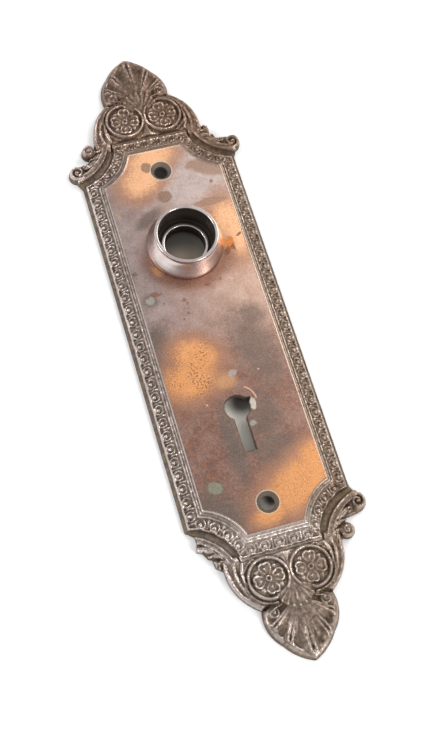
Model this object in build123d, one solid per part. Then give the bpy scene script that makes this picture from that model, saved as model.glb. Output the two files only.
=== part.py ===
from build123d import *
import math
import os

# Ornate cast backplate for a door knob, lying on its back, in millimetres.
# +X is to the right, +Y up the door, +Z out of the face; the back plane is Z = 0.

# Plate and its flat field
plate_width = 63.5
field_width = 48.0
field_length = 162.6
field_height = 5.6
end_border = 8.2
edge_height = 1.8
recess_depth = 2.6
recess_share = 0.3

# Hollow corners: how far they cut along each side, and how far they bow inwards
field_corner_cut = 12.9
edge_corner_cut = 15.9
field_corner_bow = 2.1
edge_corner_bow = 3.4

# Moulding of the border: share of its width from the field, and lift above the plain slope
border_moulding = [
    (1.00, 0.0), (0.90, 0.6), (0.83, -0.1), (0.37, -0.25),
    (0.32, 0.5), (0.25, -0.2), (0.10, -0.2), (0.05, 0.4),
]
egg_band = (0.83, 0.37)
egg_pitch = 5.3
egg_length = 2.7
egg_height = 0.95
egg_crown = 0.5
egg_sides = 6
dart_width = 0.7
dart_height = 0.6

# Holes in the field
screw_spacing = 142.4
screw_hole_radius = 2.75
countersink_radius = 4.2
keyhole_y = -33.4
keyhole_radius = 4.85
keyhole_slot_width = 4.8
keyhole_slot_end = 17.6
nick_length = 1.7
nick_width = 1.8
nick_turn = 25

# Knob collar; its heights count from the field
collar_y = 36.6
collar_height = 9.8
collar_base_radius = 15.2
collar_base_height = 1.0
collar_foot_radius = 14.4
collar_neck_radius = 12.1
rim_radius = 12.5
rim_height = 1.0
counterbore_radius = 11.1
counterbore_floor = 0.4
shank_bore_radius = 8.0
lip_radius = 9.3
lip_height = 1.0
spigot_radius = 9.8
spigot_clearance = 0.1
swage_radius = 11.0
swage_height = 1.0

# Ground that carries the carving at each end
ground_height = 1.6
console_height = 3.4

# Rosette volutes, measured from the outer line of the end border
rosette_spacing = 15.8
rosette_offset = 8.1
volute_radius = 11.2
ring_radius = 8.5
ring_width = 1.0
ring_height = 6.2
ring_sides = 20
dish_height = 4.0
petal_count = 4
petal_length = 3.4
petal_width = 2.6
petal_height = 1.0
petal_crown = 0.45
petal_crown_place = 0.65
button_radius = 1.3
button_height = 1.2

# Palmette
palmette_root = 18.1
palmette_length = 21.4
palmette_neck = 26.8
palmette_tail = 6.0
palmette_flank = (13.7, 6.2)
palmette_cheek = (9.7, 13.6)
palmette_brow = (5.0, 18.6)
palmette_moulding = [
    (1.00, 1.5), (0.94, 2.7), (0.87, 2.9), (0.60, 4.1), (0.30, 5.0),
]
flute_count = 8
flute_fan = 216
flute_share = 0.85
flute_radius = 1.5
flute_height = 3.3

# Small shell over the palmette's root
shell_offset = 13.0
shell_length = 6.6
shell_lobe_start = 1.0
shell_lobes = 5
shell_fan = 120
shell_lobe_radius = 1.35
shell_height = 4.6

# Corner scrolls, measured inwards from the plate's edge and outwards from the end border's line
curl_place = (-0.65, -10.4)
curl_radius = 3.7
curl_height = 4.8
knob_place = (6.2, -1.4)
knob_radius = 3.0
knob_height = 4.2
side_end = (0.0, -16.4)
leaf_notch = (3.1, -12.2)
leaf_tip = (2.1, -8.2)
leaf_waist = (6.1, -4.8)
leaf_root = (9.5, 1.0)
shoulder = (11.5, 10.2)
stem_share = 1.3
stem_span = (0.12, 0.95)
stem_half_width = 1.6
stem_height = 3.6
shoulder_half_width = 1.8
shoulder_inset = 1.3
shoulder_height = 3.2
ridge_top = 0.45
curl_sides = 10
curl_profile = ((1, 0), (1, 0.45), (0.75, 0.9), (0.48, 0.75), (0.22, 1))
drop_sides = 6
drop_point = 0.2
leaf_lobe_radius = 1.6
leaf_lobe_height = 2.0
leaf_lobe_starts = (0.3, 0.55, 0.8)

side_border = (plate_width - field_width) / 2
end_line = field_length / 2 + end_border
fall = field_height - edge_height
fall_angle = math.atan2(fall, side_border)
egg_band_width = (egg_band[0] - egg_band[1]) * side_border


def slope_height(share):
    """Height of the border's plain slope at a share of its width from the field."""
    return edge_height + (1 - share) * fall


def panel_edges(share, height):
    """Edges of the panel outline, anticlockwise: share 0 is the field, 1 the plate's edge."""
    half_x = field_width / 2 + share * side_border
    half_y = field_length / 2 + share * end_border
    cut = field_corner_cut + share * (edge_corner_cut - field_corner_cut)
    bow = field_corner_bow + share * (edge_corner_bow - field_corner_bow)
    inset = cut / 2 + bow / math.sqrt(2)
    sides, middles, ends = {}, {}, {}
    for sx, sy in ((1, 1), (-1, 1), (-1, -1), (1, -1)):
        sides[sx, sy] = (sx * half_x, sy * (half_y - cut), height)
        middles[sx, sy] = (sx * (half_x - inset), sy * (half_y - inset), height)
        ends[sx, sy] = (sx * (half_x - cut), sy * half_y, height)

    def arc(sx, sy, outward):
        first, last = (sides, ends) if outward else (ends, sides)
        return ThreePointArc(first[sx, sy], middles[sx, sy], last[sx, sy])

    return [
        Line(sides[1, -1], sides[1, 1]), arc(1, 1, True),
        Line(ends[1, 1], ends[-1, 1]), arc(-1, 1, False),
        Line(sides[-1, 1], sides[-1, -1]), arc(-1, -1, True),
        Line(ends[-1, -1], ends[1, -1]), arc(1, -1, False),
    ]


def panel_wire(share, height):
    """Closed outline of the panel at one share of the border."""
    return Wire(panel_edges(share, height))


def moulded_panel():
    """Field and moulded border as one ruled form through the moulding's lines."""
    wires = [panel_wire(1, 0)]
    wires += [panel_wire(share, slope_height(share) + lift) for share, lift in border_moulding]
    wires.append(panel_wire(0, field_height))
    return Part() + Solid.make_loft(wires, ruled=True)


def faceted(rings):
    """Solid with flat facets through rings of points, one ring after the other."""
    faces = [Face(Wire.make_polygon(rings[0])), Face(Wire.make_polygon(rings[-1]))]
    for low, high in zip(rings, rings[1:]):
        for k in range(len(low)):
            n = (k + 1) % len(low)
            faces.append(Face(Wire.make_polygon([low[k], low[n], high[n], high[k]])))
    return Part() + Solid(Shell(faces))


def boss(sides, *sections):
    """Upright boss with flat sides through (radius across X, radius across Y, height) sections."""
    turns = [2 * math.pi * (k + 0.5) / sides for k in range(sides)]
    return faceted([[(rx * math.cos(a), ry * math.sin(a), z) for a in turns] for rx, ry, z in sections])


def egg():
    """One egg of the border, with its length across the band."""
    long, short = egg_band_width / 2, egg_length / 2
    crown = (short * egg_crown, long * egg_crown, egg_height)
    return boss(egg_sides, (short, long, -egg_height / 4), crown)


def dart():
    """One dart between two eggs."""
    return extrude(Rectangle(dart_width, egg_band_width), dart_height, both=True)


def egg_and_dart():
    """Eggs with darts between them, all round the border's sloping band."""
    share = sum(egg_band) / 2
    egg_solid, dart_solid = egg(), dart()
    studs = []
    for edge in panel_edges(share, slope_height(share)):
        count = round(edge.length / egg_pitch)
        for step in range(1, 2 * count):
            along = edge.tangent_at(step / (2 * count))
            outward = along.cross(Vector(0, 0, 1))
            normal = Vector(0, 0, math.cos(fall_angle)) + outward * math.sin(fall_angle)
            place = Plane(edge.position_at(step / (2 * count)), x_dir=along, z_dir=normal)
            studs.append(place.location * (egg_solid if step % 2 else dart_solid))
    return studs


def drop(length, radius):
    """Teardrop with flat facets along +X, with its thin end at the origin."""
    point = drop_point * radius
    shape = boss(drop_sides, (point, point, 0), (radius, radius, length - radius),
                 (radius / 2, radius / 2, length))
    return Rot(0, 90, 0) * shape


def aimed(shape, start, end):
    """Shape that lies along +X, moved to start and turned towards end."""
    along = Vector(*end) - Vector(*start)
    return Plane(start, x_dir=along, z_dir=along.cross(Vector(-along.Y, along.X, 0)) * -1).location * shape


def at_corner(place):
    """Plan point given from the plate's edge and the end border's line."""
    return (plate_width / 2 - place[0], end_line + place[1])


def palmette_outline(share, height):
    """Teardrop outline of the palmette, shrunk by a share about its root."""
    root_y = end_line + palmette_root

    def point(x, y):
        return (share * x, root_y + share * y, height)

    def flank(side):
        neck = point(side * palmette_neck / 2, 0)
        cheek = point(side * palmette_cheek[0], palmette_cheek[1])
        middle = point(side * palmette_flank[0], palmette_flank[1])
        brow = point(side * palmette_brow[0], palmette_brow[1])
        return [ThreePointArc(neck, middle, cheek), ThreePointArc(cheek, brow, point(0, palmette_length))]

    half = palmette_neck / 2
    tail = point(0, -palmette_tail)
    return Wire(flank(1) + flank(-1) + [Line(point(-half, 0), tail), Line(tail, point(half, 0))])


def palmette():
    """Palmette with a sloping rim and a fan of flutes that deepen outwards and end at the rim."""
    wires = [palmette_outline(1, 0)]
    wires += [palmette_outline(share, height) for share, height in palmette_moulding]
    body = Part() + Solid.make_loft(wires, ruled=True)
    root = (0, end_line + palmette_root, palmette_moulding[-1][1] + flute_radius / 2)
    flutes = []
    for k in range(flute_count):
        turn = math.radians(flute_fan * ((k + 0.5) / flute_count - 0.5))
        reach = flute_share * palmette_reach(turn)
        tip = (reach * math.sin(turn), root[1] + reach * math.cos(turn), flute_height)
        length = math.dist(root, tip)
        flutes.append(aimed(drop(length, flute_radius), root, tip))
    return body - flutes


def palmette_reach(turn):
    """Distance from the palmette's root to its outline at an angle from its axis."""
    side = palmette_flank[0]
    return 1 / math.hypot(math.cos(turn) / palmette_length, math.sin(turn) / side)


def root_shell():
    """Small scallop of raised lobes that covers the palmette's root."""
    lobes = []
    for k in range(shell_lobes):
        turn = shell_fan * (k / (shell_lobes - 1) - 0.5)
        lobe = Pos(shell_lobe_start, 0, shell_height) * drop(shell_length, shell_lobe_radius)
        lobes.append(Pos(0, end_line + shell_offset) * Rot(0, 0, 90 - turn) * lobe)
    return lobes


def petal():
    """Petal with a raised end, its point at the origin, along +X."""
    outline = [(0, 0), (petal_length / 2, petal_width / 2), (petal_length, petal_width / 3),
               (petal_length, -petal_width / 3), (petal_length / 2, -petal_width / 2)]
    middle = petal_length * petal_crown_place
    crown = [(middle + (x - middle) * petal_crown, y * petal_crown, petal_height) for x, y in outline]
    return faceted([[(x, y, -petal_height / 4) for x, y in outline], crown])


def rosette():
    """Volute with a raised ring round a sunk dish that holds a flower."""
    inner = ring_radius - ring_width
    profile = ((volute_radius, 0), (volute_radius, ground_height), (ring_radius, ring_height),
               (inner, ring_height), (inner - ring_width / 2, dish_height))
    volute = boss(ring_sides, *[(r, r, z) for r, z in profile])
    flower = [Rot(0, 0, 360 * (k + 0.5) / petal_count) * Pos(button_radius, 0, dish_height) * petal()
              for k in range(petal_count)]
    button = Pos(0, 0, dish_height) * boss(egg_sides, (button_radius, button_radius, -button_height / 4),
                                           (button_radius / 2, button_radius / 2, button_height))
    return volute + flower + button


def rolled_curl(radius, height):
    """End of a scroll: a round boss with a groove about its raised eye."""
    return boss(curl_sides, *[(r * radius, r * radius, z * height) for r, z in curl_profile])


def band_wire(path, half_width, height):
    """Outline of a band of even width along an arc in plan."""
    def beside(share, offset):
        spoke = path.position_at(share) - path.arc_center
        return path.arc_center + spoke.normalized() * (path.radius + offset) + Vector(0, 0, height)

    inner = ThreePointArc(*[beside(share, -half_width) for share in (0, 0.5, 1)])
    outer = ThreePointArc(*[beside(share, half_width) for share in (1, 0.5, 0)])
    return Wire([inner, Line(inner @ 1, outer @ 0), outer, Line(outer @ 1, inner @ 0)])


def ridge(path, half_width, height):
    """Raised band along an arc in plan, with sides that lean in to a narrow top."""
    wires = [band_wire(path, half_width, 0), band_wire(path, half_width, ground_height / 2),
             band_wire(path, half_width * ridge_top, height)]
    return Part() + Solid.make_loft(wires, ruled=True)


def corner_scroll(has_curl, has_knob):
    """Acanthus scroll at the upper right corner, with the curls that are still on it."""
    ground = Polygon(at_corner(side_end), at_corner(leaf_notch), at_corner(leaf_tip), at_corner(leaf_waist),
                     at_corner(leaf_root), (0, end_line), (0, end_line - edge_corner_cut), align=None)
    curl_x, curl_y = at_corner(curl_place)
    knob_x, knob_y = at_corner(knob_place)
    bosses = []
    if has_curl:
        ground += Polygon(at_corner(side_end), (curl_x, curl_y - curl_radius),
                          (curl_x, curl_y + curl_radius), at_corner(leaf_waist), at_corner(leaf_notch),
                          align=None)
        bosses.append(Pos(curl_x, curl_y) * rolled_curl(curl_radius, curl_height))
    if has_knob:
        neck_width = knob_x - at_corner(leaf_root)[0] + knob_radius
        ground += Pos(knob_x - neck_width / 2, knob_y) * Rectangle(neck_width, knob_radius)
        bosses.append(Pos(knob_x, knob_y) * rolled_curl(knob_radius, knob_height))
    stem_arc = panel_edges(stem_share, 0)[1].trim(*stem_span)
    stem = ridge(stem_arc, stem_half_width, stem_height)
    lobes = []
    for start, end in zip(leaf_lobe_starts, (leaf_tip, leaf_waist, leaf_root)):
        foot = stem_arc.position_at(start)
        tip = at_corner(end)
        lobes.append(aimed(drop(math.dist((foot.X, foot.Y), tip), leaf_lobe_radius),
                           (foot.X, foot.Y, leaf_lobe_height), (*tip, leaf_lobe_height)))
    return extrude(ground, ground_height) + bosses + [stem] + lobes


def shoulder_band():
    """Raised band along the console's right flank, from the leaf to the palmette's neck."""
    neck = (palmette_neck / 2, end_line + palmette_root)
    foot, waist = at_corner(leaf_root), at_corner(shoulder)
    flank = ThreePointArc(foot, waist, neck)
    inner = Polyline(neck, (0, neck[1]), (0, end_line), foot)
    ground = make_face([flank, inner])
    path = ThreePointArc((foot[0] - shoulder_inset, foot[1]), (waist[0] - shoulder_inset, waist[1]),
                         (neck[0] - shoulder_inset, neck[1] - shoulder_inset))
    return extrude(ground, ground_height) + ridge(path, shoulder_half_width, shoulder_height)


def end_ornament(right_curl, right_knob):
    """Carving at the upper end; its left corner scroll is whole."""
    console = Pos(0, end_line + rosette_offset / 2) * extrude(
        Rectangle(rosette_spacing + 2 * ring_radius, rosette_offset), console_height)
    centre = Pos(rosette_spacing / 2, end_line + rosette_offset)
    halves = [centre * rosette(), mirror(centre * rosette(), Plane.YZ)]
    halves += [shoulder_band(), mirror(shoulder_band(), Plane.YZ)]
    halves += [corner_scroll(right_curl, right_knob), mirror(corner_scroll(True, True), Plane.YZ)]
    return Part() + [console, palmette()] + halves + root_shell()


def field_cuts():
    """Screw holes, keyhole, collar hole and the hollow of the back, as one set of cutters."""
    through = 2 * field_height
    sink = countersink_radius - screw_hole_radius
    countersink = Pos(0, 0, field_height - sink / 2) * Cone(screw_hole_radius, countersink_radius, sink)
    cuts = []
    for side in (1, -1):
        place = Pos(0, side * screw_spacing / 2)
        cuts.append(place * Cylinder(screw_hole_radius, 2 * through))
        cuts.append(place * countersink)
    keyhole = Pos(0, keyhole_y) * Circle(keyhole_radius)
    keyhole += Pos(0, keyhole_y - keyhole_slot_end / 2) * Rectangle(keyhole_slot_width, keyhole_slot_end)
    half_nick = nick_width / 2
    nick = Polygon((0, nick_width), (keyhole_radius, half_nick), (keyhole_radius + nick_length, half_nick),
                   (keyhole_radius, -half_nick), (0, -half_nick), align=None)
    keyhole += Pos(0, keyhole_y) * Rot(0, 0, nick_turn) * nick
    cuts.append(extrude(keyhole, through))
    cuts.append(Pos(0, collar_y) * Cylinder(spigot_radius + spigot_clearance, 2 * through))
    cuts.append(extrude(make_face(panel_edges(recess_share, 0)), recess_depth))
    return cuts


def backplate():
    """The whole casting: panel, border studs, carving at both ends and the holes."""
    upper = end_ornament(True, False)
    lower = Rot(0, 0, 180) * end_ornament(False, False)
    casting = moulded_panel() + egg_and_dart() + [upper, lower]
    return casting - field_cuts()


def knob_collar():
    """Turned collar: skirt, rim, counterbore with a lip, and a spigot swaged behind the plate."""
    top = collar_height
    neck = top - 2 * rim_height
    ceiling = recess_depth - field_height
    tail = ceiling - swage_height
    outline = Polyline(
        (spigot_radius, 0), (collar_foot_radius, 0), (collar_base_radius, collar_base_height),
        (collar_neck_radius, neck), (rim_radius, top - rim_height), (rim_radius, top),
        (counterbore_radius, top), (counterbore_radius, counterbore_floor),
        (lip_radius, counterbore_floor), (lip_radius, lip_height), (shank_bore_radius, lip_height),
        (shank_bore_radius, tail), (swage_radius, tail), (swage_radius, ceiling),
        (spigot_radius, ceiling), close=True)
    section = Plane.XZ * make_face(outline)
    return Pos(0, collar_y, field_height) * revolve(section, Axis.Z)


os.makedirs("parts", exist_ok=True)
export_step(backplate(), "parts/backplate.step")
export_step(knob_collar(), "parts/knob_collar.step")
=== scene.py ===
import math
from collections import Counter

import bmesh
import bpy
import numpy as np
from mathutils import Matrix, Vector
from mathutils.geometry import delaunay_2d_cdt


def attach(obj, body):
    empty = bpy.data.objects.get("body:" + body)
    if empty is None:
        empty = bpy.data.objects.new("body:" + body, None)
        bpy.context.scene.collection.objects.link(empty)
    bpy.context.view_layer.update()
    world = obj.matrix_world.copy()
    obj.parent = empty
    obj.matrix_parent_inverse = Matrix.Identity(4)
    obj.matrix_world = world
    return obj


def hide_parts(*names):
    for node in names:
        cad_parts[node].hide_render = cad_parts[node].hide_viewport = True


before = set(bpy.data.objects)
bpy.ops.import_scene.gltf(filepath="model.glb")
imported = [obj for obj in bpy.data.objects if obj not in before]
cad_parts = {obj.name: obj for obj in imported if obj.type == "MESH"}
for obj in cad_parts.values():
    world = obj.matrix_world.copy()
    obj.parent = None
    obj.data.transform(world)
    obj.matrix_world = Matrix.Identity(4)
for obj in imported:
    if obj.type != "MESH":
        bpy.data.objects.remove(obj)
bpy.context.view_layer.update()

# Cast door plate and its turned collar. Sizes are millimetres until a mesh is made from them.
# The carving is worked out for the quarter with x and y above zero, and mirrored.

MM = 0.001
PITCH = 0.27
GRID_REACH = (37, 130)

# Panel: half sizes of its field, widths of its border, cuts and bows of its corners at field and edge
FIELD = (24, 81.3)
BORDER = (7.75, 8.2)
CUTS = (12.9, 15.9)
BOWS = (2.1, 3.4)
FIELD_Z, EDGE_Z = 5.6, 1.8
RECESS_Z, RECESS_SHARE = 2.6, 0.3

# Border, by distance from the field: beads (place, half width, height) and coves (start, end, depth)
BEADS = ((-0.12, 0.32, 0.32), (0.85, 0.36, 0.45), (1.75, 0.36, 0.5), (6.2, 0.42, 0.6))
COVES = ((0.1, 2.1, 0.22), (2.1, 5.9, 0.4), (6.5, 7.7, 0.35))
COVE_EDGE = 0.4

# Bar along each end of the border: half length, start, steps up, height of a step and a bead
BAR_HALF, BAR_Y = 15.8, 80
BAR_STEPS, BAR_STEP_Z = ((5, 6.2), (6.5, 7.4)), 0.45
BAR_BEAD = (7.1, 0.4, 0.75)

# Egg and dart: share of the border at the band's middle, and counts along a side, a corner and an end
EGG_SHARE = 0.54
EGG_COUNTS = (27, 4, 5)
STUD_REACH = 2.6
CUP_SIZE, CUP_SHIFT, CUP_OPENING = (2, 1.85), 0.1, (-1.9, -0.8)
CUP_LINE, CUP_WALL, CUP_Z = 0.86, 0.22, 0.8
EGG_R, EGG_SHIFT, EGG_Z = 1, 0.6, 0.95
DART_SIZE, DART_Z = (0.45, 1.8), 0.7
DART_HEAD, DART_HEAD_SHIFT, DART_HEAD_Z = (0.85, 0.7), -1.2, 0.45

# Outline of an end, and the curl and the knob of its corner scroll
END_Y = 70
PALMETTE_TIP, PALMETTE_CHEEK, PALMETTE_NECK = (0, 129), (9.7, 121.2), (13.4, 107.6)
PALMETTE_FLANK, PALMETTE_BROW, PALMETTE_TAIL = (13.7, 113.8), (5, 126.2), (0, 101.6)
LEAF_ROOT, SHOULDER = (22.25, 90.5), (20.25, 99.7)
SHOULDER_INNER = [(-9, 109), (-9, 86), (20, 86)]
CORNER_GROUND = [(31.75, 73.1), (28.9, 75.6), (28.65, 77.9), (29.65, 81.3), (27.6, 82.2), (26.4, 84.6),
                 (25, 85.3), (24.6, 88.6), LEAF_ROOT, (-9, 90.5), (-9, 73.6), (20, 70)]
CURL, CURL_R = (32.4, 79.1), 3.5
CURL_NECK = [(31.75, 72.5), (33.4, 75.5), (32.4, 82.8), (26.5, 83.6), (22, 80), (26.5, 72.5)]
KNOB, KNOB_R = (25.55, 88.1), 3
KNOB_NECK = [(21, 86.5), (25, 86.6), (25, 89.9), (21.5, 91.5)]

# Corners of the plate: signs of x and y, and whether the curl and the knob are still on
CORNERS = ((1, 1, True, False), (-1, 1, True, True), (1, -1, True, True), (-1, -1, False, False))

# Heights of the ends' ground, the channel beside the border, the console and the shoulders' edge
GROUND_Z, CHANNEL_Z, CONSOLE_Z, SHOULDER_Z = 1.7, 1.9, 3.3, 1.8
CHANNEL_X, CHANNEL_Y = 15.5, (70, 95)
STEM_SHARE, STEM_HALF = 1.37, 1.6
FINE_FLUTE = 0.95

# Strokes of the carving: points, half widths, foot and heights
SHOULDER_BANDS = (
    ([(21.4, 88.6), (21.2, 93), (20, 97.8), (18, 101.8), (15.2, 104.9), (13, 106.8)],
     [1.1, 1.5, 1.4, 1.2], 2.4, [3.6, 4.1, 4, 3.6]),
    ([(18.3, 89.5), (18.9, 93.5), (18.2, 97.6), (16.8, 101.2), (14.2, 104.6)],
     [0.8, 1.15, 1, 0.6], 2.6, [4, 4.8, 4.6, 4]),
    ([(15.6, 90), (16.5, 93), (16.6, 96.6), (15.8, 100.4)],
     [0.9, 1.2, 1, 0.5], 2.6, [4.3, 5.1, 4.9, 4.2]),
)
RIDGE = ([(0, 89.9), (0, 91.5), (0, 94.5), (0, 98), (0, 100.5), (0, 103)],
         [3.4, 1.5, 0.75, 0.75, 1.3, 2.6], 3.2, [4.4, 4.9, 5.1, 5.1, 5, 5])

# Lobes of the corner leaf: foot, then points, half widths and heights
LEAF_FOOT = 1.6
LEAF_LOBES = (
    ([(22.6, 84), (25, 82.4), (27.3, 81), (28.9, 80.7)], [0.7, 1.2, 1.2, 1], [3.4, 4.2, 4.1, 3.6]),
    ([(20.6, 86.6), (22.6, 85.2), (24.4, 84.5), (25.8, 84.4)], [0.7, 1, 1, 0.7], [3.4, 4.2, 4, 3.5]),
    ([(19.2, 90), (20.8, 88), (22.4, 87.3), (24, 88.1)], [0.7, 1, 0.9, 0.6], [3.4, 4.1, 3.9, 3.4]),
)

# Grooves of the shoulder and of the leaf, and small leaves beside the end bar
SHOULDER_GROOVE = [(21.6, 91), (20.9, 95), (19.6, 98.8), (17.4, 102.2)]
LEAF_VEINS = ([(22.9, 83.9), (25.2, 82.3), (27.8, 81)], [(21, 86.4), (22.8, 85.1), (25, 84.5)],
              [(19.6, 89.5), (21, 87.9), (23, 87.5)])
LEAF_EYE = (28.5, 80.9)
SMALL_LEAVES = ([(2, 90.6), (3.6, 91.5), (4.8, 90.7)], [(1.6, 92.4), (2.6, 93.6), (3.2, 92.8)],
                [(13.6, 90.5), (12.4, 91), (11.4, 90.4)], [(15.4, 91.4), (14.4, 92.4), (13.6, 92)])

# Palmette: root of its fan, rim, angle from flute to flute, eye beside its neck, and the small shell
FAN_ROOT, FAN_RIM, FAN_STEP = 106.2, 1.75, 27
PALMETTE_EYE = (9.9, 109.7)
SHELL_ROOT, SHELL_REACH, SHELL_HALF, SHELL_STEP = 100.6, 9.3, 67, 15

# Rosette: middle, dish, rings (radius, half width, foot, height, start in x), and one petal along x
ROSE = (7.9, 97.6)
ROSE_R, DISH_R, DISH_Z, PETAL_FOOT = 8.7, 6.7, 4.3, 4.1
ROSE_RINGS = ((7.35, 0.7, 4.3, 1.4, 0), (6.2, 0.3, 4, 0.5, 0), (0.9, 0.45, 4.1, 1.1, 0),
              (8.85, 0.5, 3.2, 1.4, 7))
PETALS, PETAL_TURN = 4, 0.12
PETAL_SIDE = [(1.7, 0.5), (2.5, 1.5), (3.7, 2.1), (4.9, 1.9), (5.5, 1)]
PETAL = PETAL_SIDE + [(5.2, 0)] + [(u, -v) for u, v in PETAL_SIDE[::-1]]
PETAL_VEIN = [(2.3, 0), (3.2, 0.15), (4.4, 0)]
PETAL_MIDDLE, PETAL_SIZE, PETAL_Z = 3.9, (2, 2.3), 0.55
BUD_PLACE, BUD_R, BUD_Z = 4.9, 1.05, 5.1

# Surface of the casting: waves (height, size), smoothing, flat strip at the field, rounding of its edge
WAVES = ((0.06, 0.35), (0.04, 0.9))
SMOOTHING = 0.16
FLAT_STRIP, FIELD_LAP = -0.45, 0.9
ROUND_WIDTH, ROUND_DEPTH = 0.9, 0.75
RELIEF_START = (-0.5, -0.3)

# Holes of the field
SCREW_Y, SCREW_R, SINK_R = 71.2, 2.75, 4.2
SINK_EDGE = 0.03
KEY_Y, KEY_R, SLOT_WIDTH, SLOT_END = -33.4, 4.85, 4.8, 17.6
NICK_TURN, NICK_HALF, NICK_LENGTH = math.radians(25), 0.2, 1.6
KEY_WEAR = 0.22
HOLE_SIDES, BORE_SIDES, KEY_STEPS = 64, 96, 60

# Collar; its heights count from the field
COLLAR_Y, COLLAR_HOLE, COLLAR_SIDES = 36.6, 9.9, 144
BORE_R, COUNTERBORE_R, SPIGOT_R, SWAGE_R, SWAGE_DEPTH = 8, 11.1, 9.8, 11, 1


# Curves and distances

def ease(a, b, v):
    """Smooth step from 0 at a to 1 at b."""
    t = np.clip((v - a) / (b - a), 0, 1)
    return t * t * (3 - 2 * t)


def bead(d, half, height):
    """Round bead by distance from its middle."""
    return height * np.sqrt(np.clip(1 - (d / half) ** 2, 0, 1))


def filled(z, mask, new):
    """Heights filled up to new ones where the mask says."""
    return np.where(mask, np.maximum(z, new), z)


def oval_dome(u, v, size, height):
    """Round dome over an oval with the given half sizes."""
    return bead(np.hypot(u / size[0], v / size[1]), 1, height)


def blur(a, sigma):
    """Gaussian blur of a grid, with sigma in steps of the grid."""
    n = int(np.ceil(3 * sigma))
    weights = np.exp(-0.5 * (np.arange(-n, n + 1) / sigma) ** 2)
    weights /= weights.sum()
    for axis in (0, 1):
        pad = [(n, n) if i == axis else (0, 0) for i in (0, 1)]
        padded = np.pad(a, pad, mode="edge")
        a = sum(w * np.take(padded, range(i, i + a.shape[axis]), axis) for i, w in enumerate(weights))
    return a


def arc_through(a, b, c, n=24):
    """Points of the arc through three points."""
    a, b, c = [complex(*point) for point in (a, b, c)]
    w = (c - a) / (b - a)
    middle = a + (b - a) * (w - abs(w) ** 2) / (2j * w.imag)
    t = np.unwrap(np.angle([a - middle, b - middle, c - middle]))
    s = np.concatenate([np.linspace(t[0], t[1], n), np.linspace(t[1], t[2], n)[1:]])
    arc = middle + abs(a - middle) * np.exp(1j * s)
    return np.stack([arc.real, arc.imag], 1)


def flow(points, n=10):
    """Smooth curve through the points."""
    p = np.asarray(points, float)
    p = np.vstack([2 * p[0] - p[1], p, 2 * p[-1] - p[-2]])
    t = np.linspace(0, 1, n, endpoint=False)[:, None]
    spans = []
    for a, b, c, d in zip(p, p[1:], p[2:], p[3:]):
        square, cube = 2 * a - 5 * b + 4 * c - d, 3 * b - a - 3 * c + d
        spans.append(0.5 * (2 * b + (c - a) * t + square * t**2 + cube * t**3))
    return np.vstack(spans + [p[-2:-1]])


def coil(centre, first, last, start, turn, n=70):
    """Spiral from a first to a last radius, with its start and turn in degrees."""
    a = np.radians(start + np.linspace(0, turn, n))
    r = np.linspace(first, last, n)
    return np.stack([centre[0] + r * np.cos(a), centre[1] + r * np.sin(a)], 1)


def ring(cx, cy, r, n):
    """Points of a circle, anticlockwise."""
    a = np.arange(n) * 2 * np.pi / n
    return np.stack([cx + r * np.cos(a), cy + r * np.sin(a)], 1)


def lengths(line):
    """Length along a line up to each of its points."""
    return np.concatenate([[0], np.cumsum(np.hypot(*np.diff(line, axis=0).T))])


def nearest(x, y, curve):
    """Distance to a curve and place along it, from 0 to 1."""
    best = np.full(x.shape, np.inf)
    place = np.zeros(x.shape)
    along = lengths(curve)
    along /= along[-1]
    for k, ((ax, ay), (bx, by)) in enumerate(zip(curve, curve[1:])):
        dx, dy = bx - ax, by - ay
        q = np.clip(((x - ax) * dx + (y - ay) * dy) / (dx * dx + dy * dy), 0, 1)
        d = np.hypot(x - ax - q * dx, y - ay - q * dy)
        closer = d < best
        best = np.where(closer, d, best)
        place = np.where(closer, along[k] + q * (along[k + 1] - along[k]), place)
    return best, place


def inside(x, y, outline):
    """Signed distance to a closed outline, positive inside."""
    closed = np.vstack([outline, outline[:1]])
    d, _ = nearest(x, y, closed)
    odd = np.zeros(x.shape, bool)
    for (ax, ay), (bx, by) in zip(closed, closed[1:]):
        if ay != by:
            odd ^= ((ay > y) != (by > y)) & (x < (bx - ax) * (y - ay) / (by - ay) + ax)
    return np.where(odd, d, -d)


# Panel and outline

def panel_sizes(share):
    """Half width, half length, corner cut and bow of the panel at a share of its border."""
    half_x, half_y = [half + share * width for half, width in zip(FIELD, BORDER)]
    cut, bow = [inner + share * (outer - inner) for inner, outer in (CUTS, BOWS)]
    return half_x, half_y, cut, bow


def panel_gap(x, y, share):
    """Distance outside the panel's outline at a share of the border."""
    half_x, half_y, cut, bow = panel_sizes(share)
    r = (cut * cut / 2 + bow * bow) / (2 * bow)
    off = (r - bow) / np.sqrt(2) - cut / 2
    corner = r - np.hypot(x - half_x - off, y - half_y - off)
    return np.maximum(np.maximum(x - half_x, y - half_y), corner)


def border_share(x, y):
    """Share of the border at a point: 0 at the field, 1 at the edge."""
    low, high = np.full(x.shape, -0.9), np.full(x.shape, 2.6)
    for _ in range(22):
        middle = (low + high) / 2
        out = panel_gap(x, y, middle) > 0
        low, high = np.where(out, middle, low), np.where(out, high, middle)
    return (low + high) / 2


def corner_arc(share, n=24):
    """Hollow corner of the panel, from its side to its end."""
    half_x, half_y, cut, bow = panel_sizes(share)
    inset = cut / 2 + bow / np.sqrt(2)
    return arc_through((half_x, half_y - cut), (half_x - inset, half_y - inset), (half_x - cut, half_y), n)


def panel_outline(share):
    """Closed outline of the panel at a share of the border, anticlockwise."""
    arc = corner_arc(share, 16)
    return np.vstack([arc, arc[::-1] * [-1, 1], -arc, arc[::-1] * [1, -1]])


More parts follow.
